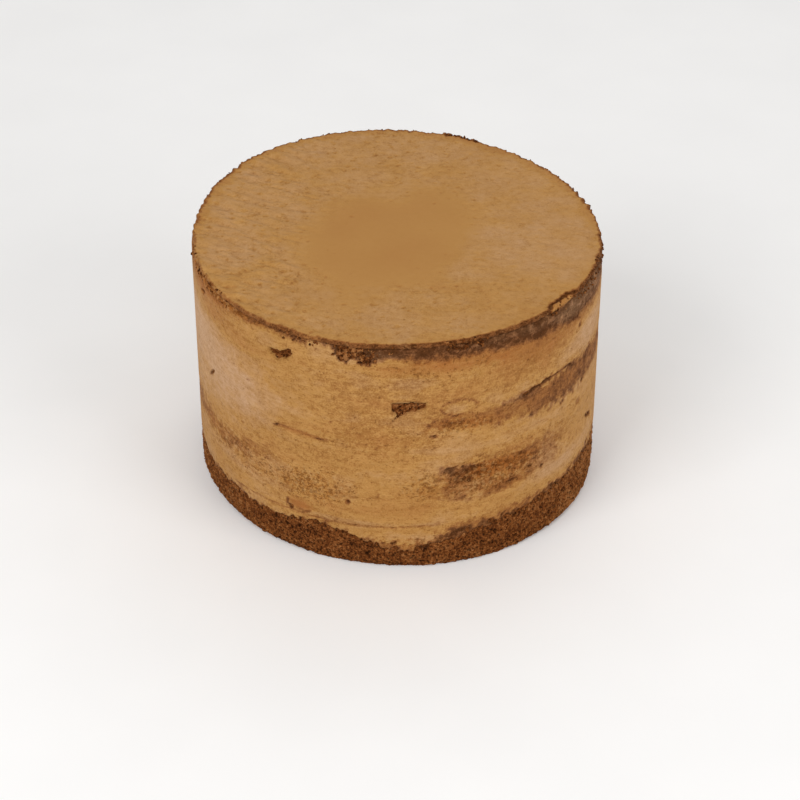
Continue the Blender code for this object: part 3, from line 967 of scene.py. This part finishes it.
TONE = (1.0, 1.34, 2.1)  # how fast red, green and blue fade as the cream gets darker
CREAM = (0.432, 0.217, 0.061)
# pale pinkish cream, also the colour of the painted sheen over the coat's left side
CREAM_PALE = (0.495, 0.292, 0.155)
CREAM_WARM = (0.325, 0.122, 0.030)
CREAM_OVER_SPONGE = (
    (0.0, (0.088, 0.031, 0.009)), (0.18, (0.146, 0.056, 0.020)), (0.45, (0.246, 0.097, 0.029)),
    (0.75, (0.350, 0.163, 0.045)), (0.95, CREAM),
)
SPECK_DARK = (0.060, 0.019, 0.003)
SPECK_BROWN = (0.170, 0.060, 0.010)
# the colour of the pale flecks' painted highlights
FLECK_HIGHLIGHT = (0.440, 0.235, 0.085)
RUST = (1.08, 0.88, 0.50)
DOT_EDGE = 8.0  # how crisply dots end
# painted shade: the sponge's colour darkens with depth, from its light tips to a nearly black painted shadow
# in the pores
SPONGE_TIP = (0.405, 0.168, 0.055)
SPONGE_PORE_SHADOW = (0.028, 0.008, 0.002)
SPONGE_SHADES_BY_DEPTH = (
    (0.0, SPONGE_TIP), (0.16, (0.292, 0.101, 0.025)), (0.50, (0.189, 0.056, 0.013)), (1.0, SPONGE_PORE_SHADOW),
)
FILLING_SHADES = ((0.2, (0.360, 0.178, 0.058)), (0.8, CREAM))
FLOOR_SHADES = ((0.3, (0.95, 0.95, 0.95)), (0.7, (0.97, 0.97, 0.97)))


def tinted(shader, colour, tint, full):
    """Warmer where the tint is above zero and paler where it is below, and less so where cream is thin."""
    for sign, least, hue in ((1.0, 0.25, CREAM_WARM), (-1.0, 0.30, CREAM_PALE)):
        share = shader.times(tint, sign, clamp=True)
        share = shader.times(share, shader.total(least, (full, 1 - least)))
        colour = shader.mix(share, colour, hue)
    return colour


def dots(shader, spacing, reach, ragged, weight):
    """Dots round scattered points, larger where they reach further."""
    share = shader.math("SUBTRACT", reach, shader.total(shader.pores(spacing), (ragged, weight)))
    return shader.times(share, DOT_EDGE, clamp=True)


def freckled(shader, colour, film, thin, ragged):
    """Rusty where crumbs show through, with dark specks, and pale flecks between them that are painted
    highlights.
    """
    freckle = shader.field("freckle")
    rust = shader.times(shader.times(freckle, thin), 1.3, clamp=True)
    colour = shader.mix(rust, colour, RUST, "MULTIPLY")
    dark = dots(shader, 1.7, shader.total(-0.07, (freckle, 0.46), (thin, 0.34)), ragged, 1.0)
    # pale flecks: painted highlights, as on the lit edges of small pits
    highlight_fleck = dots(shader, 2.2, shader.total(-0.08, (freckle, 0.42), (thin, 0.20)), ragged, -1.0)
    speck = shader.ramp(film, ((0.05, SPECK_DARK), (0.90, SPECK_BROWN)))
    share = shader.times(dark, shader.total(0.26, (freckle, 0.20), (thin, 0.06)))
    colour = shader.mix(share, colour, speck)
    share = shader.times(highlight_fleck, shader.total(0.15, (freckle, 0.35), (thin, -0.22)))
    return shader.mix(share, colour, FLECK_HIGHLIGHT), dark, highlight_fleck


def cream_material(name, streak):
    """Chocolate cream: full cream where it is thick, stained dark by the sponge where it is thin."""
    shader = Shader(name, 0.6, 0.07)
    wear = shader.field("wear")
    fine = shader.spread(shader.grain((0.75, 0.75, 0.65), 3.0, 0.65), wear)
    middling = shader.spread(shader.grain((3.0, 3.0, 2.0), 3.0, 0.65), wear)
    lines = shader.spread(shader.grain(streak, 2.0), wear)
    broad = shader.spread(shader.grain((15, 15, 9), 3.0, 0.6), wear)
    film = shader.total(shader.field("film"), (fine, 0.76), (middling, 0.75), (lines, 0.10))
    full = shader.times(film, 1.0, clamp=True)
    thin = shader.math("SUBTRACT", 1.0, full)
    tint = shader.total(shader.field("tint"), (broad, 1.2), (middling, -0.3))
    colour = tinted(shader, shader.ramp(film, CREAM_OVER_SPONGE), tint, full)
    shade = shader.total(1.0, (fine, 0.43), (lines, 0.24), (broad, 0.35), (middling, 0.35))
    colour = shader.mix(1.0, colour, shader.toned(shade), "MULTIPLY")
    ragged = shader.total(0.0, (fine, 1.1), (middling, 1.1))
    colour, dark, highlight_fleck = freckled(shader, colour, film, thin, ragged)
    roughness = shader.math("SUBTRACT", 0.85, shader.times(full, 0.28))
    relief = shader.total(0.0, (fine, 0.7), (lines, 0.6), (middling, 0.9), (dark, -0.5), (highlight_fleck, 0.3))
    return shader.finish(colour, roughness, shader.bump(relief, 0.7, 0.5))


def sponge_material(name):
    """Cocoa sponge, with painted shade: light crumb tips, darker with depth, and nearly black painted shadow
    in the pores.
    """
    shader = Shader(name, 0.92, 0.04)
    fine = shader.spread(shader.grain((0.55, 0.55, 0.55), 3.0, 0.7), 1.0)
    middling = shader.spread(shader.grain((2.2, 2.2, 1.8), 3.0, 0.65), 1.0)
    broad = shader.spread(shader.grain((11, 11, 7), 3.0, 0.6), 1.0)
    crumbs = shader.pores(1.0)
    # painted shade: darker with the pit shade and in the hollows between tiny crumbs
    depth = shader.total(-0.19, (shader.field("pit"), 0.85), (fine, 2.0), (middling, 0.7))
    depth = shader.total(depth, (broad, 0.5), (crumbs, 0.6))
    colour = shader.ramp(depth, SPONGE_SHADES_BY_DEPTH)
    # painted shadow: nearly black dots in the pores
    pore_shadows = dots(shader, 1.5, 0.34, shader.total(0.0, (fine, 1.2), (middling, 0.6)), 1.0)
    colour = shader.mix(shader.times(pore_shadows, 0.75), colour, SPONGE_PORE_SHADOW)
    relief = shader.total(0.0, (crumbs, -1.0), (fine, 1.6), (pore_shadows, -0.8))
    return shader.finish(colour, None, shader.bump(relief, 1.0, 0.6))


def filling_material():
    """The cream between the sponges, seen only through tears."""
    shader = Shader("cream_filling", 0.6, 0.35)
    colour = shader.ramp(shader.grain((3, 3, 3), 3.0), FILLING_SHADES)
    return shader.finish(colour, None, shader.bump(shader.grain((1, 1, 1)), 0.3, 0.3))


# Floor, light and camera

PITCH = 34.867
ROLL = 0.592
LENS = 93.2
SENSOR = 36.0
CAMERA_PLACE = (0.00208, -0.7797, 0.5683)
# Soft lamps: place, size and power
LAMPS = {
    "key": ((-0.85, -1.0, 1.05), (0.9, 0.9), 11.2),
    "fill": ((1.0, -0.8, 0.65), (0.8, 0.8), 6.2),
    "back": ((0.2, 1.0, 1.1), (1.2, 0.8), 2.7),
}
LAMP_AIM = (0, 0, 0.05)
ROOM_COLOUR = (1.0, 0.985, 0.965, 1)
ROOM_STRENGTH = 0.545
FLOOR_REACH = 6.0


def add_camera():
    pitch, roll = math.radians(PITCH), math.radians(ROLL)
    ahead = Vector((0, math.cos(pitch), -math.sin(pitch)))
    level_up = Vector((0, math.sin(pitch), math.cos(pitch)))
    level_right = Vector((1, 0, 0))
    right = level_right * math.cos(roll) + level_up * math.sin(roll)
    up = level_up * math.cos(roll) - level_right * math.sin(roll)
    data = bpy.data.cameras.new("camera")
    data.lens = LENS
    data.sensor_width = SENSOR
    camera = bpy.data.objects.new("camera", data)
    turn = Matrix((right, up, -ahead)).transposed().to_4x4()
    camera.matrix_world = Matrix.Translation(CAMERA_PLACE) @ turn
    bpy.context.scene.collection.objects.link(camera)
    bpy.context.scene.camera = camera


def add_softbox(name, place_at, size, power):
    data = bpy.data.lights.new(name, "AREA")
    data.shape = "RECTANGLE"
    data.size, data.size_y = size
    data.energy = power
    light = bpy.data.objects.new(name, data)
    aim = Vector(LAMP_AIM) - Vector(place_at)
    light.matrix_world = Matrix.Translation(place_at) @ aim.to_track_quat("-Z", "Y").to_matrix().to_4x4()
    bpy.context.scene.collection.objects.link(light)


def add_stage():
    """A plain pale floor under soft light from all sides."""
    mesh = bpy.data.meshes.new("floor")
    corners = [(x * FLOOR_REACH, y * FLOOR_REACH, 0) for x, y in ((-1, -1), (1, -1), (1, 1), (-1, 1))]
    mesh.from_pydata(corners, [], [(0, 1, 2, 3)])
    shader = Shader("pale_floor", 0.7, 0.2)
    mesh.materials.append(shader.finish(shader.ramp(shader.grain((60, 60, 60), 2.0), FLOOR_SHADES)))
    floor = bpy.data.objects.new("floor", mesh)
    bpy.context.scene.collection.objects.link(floor)
    world = bpy.data.worlds.new("soft_room")
    world.use_nodes = True
    background = world.node_tree.nodes["Background"]
    background.inputs["Color"].default_value = ROOM_COLOUR
    background.inputs["Strength"].default_value = ROOM_STRENGTH
    bpy.context.scene.world = world
    for name, (place_at, size, power) in LAMPS.items():
        add_softbox(name, place_at, size, power)
    bpy.context.scene.view_settings.view_transform = "Standard"


def build():
    sponge = sponge_material("torn_sponge")
    coat = cream_material("scraped_cream", (8, 8, 0.8))
    top = cream_material("smooth_cream", (3.5, 1.8, 3.5))
    filling = filling_material()
    for name in ("filling_1", "filling_2", "filling_3"):
        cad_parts[name].data.materials.clear()
        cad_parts[name].data.materials.append(filling)
    for name in SPONGES:
        sponge_piece(name, sponge)
    coat_piece(coat)
    top_piece(top)
    crumbs_piece(sponge)
    add_stage()
    add_camera()


build()
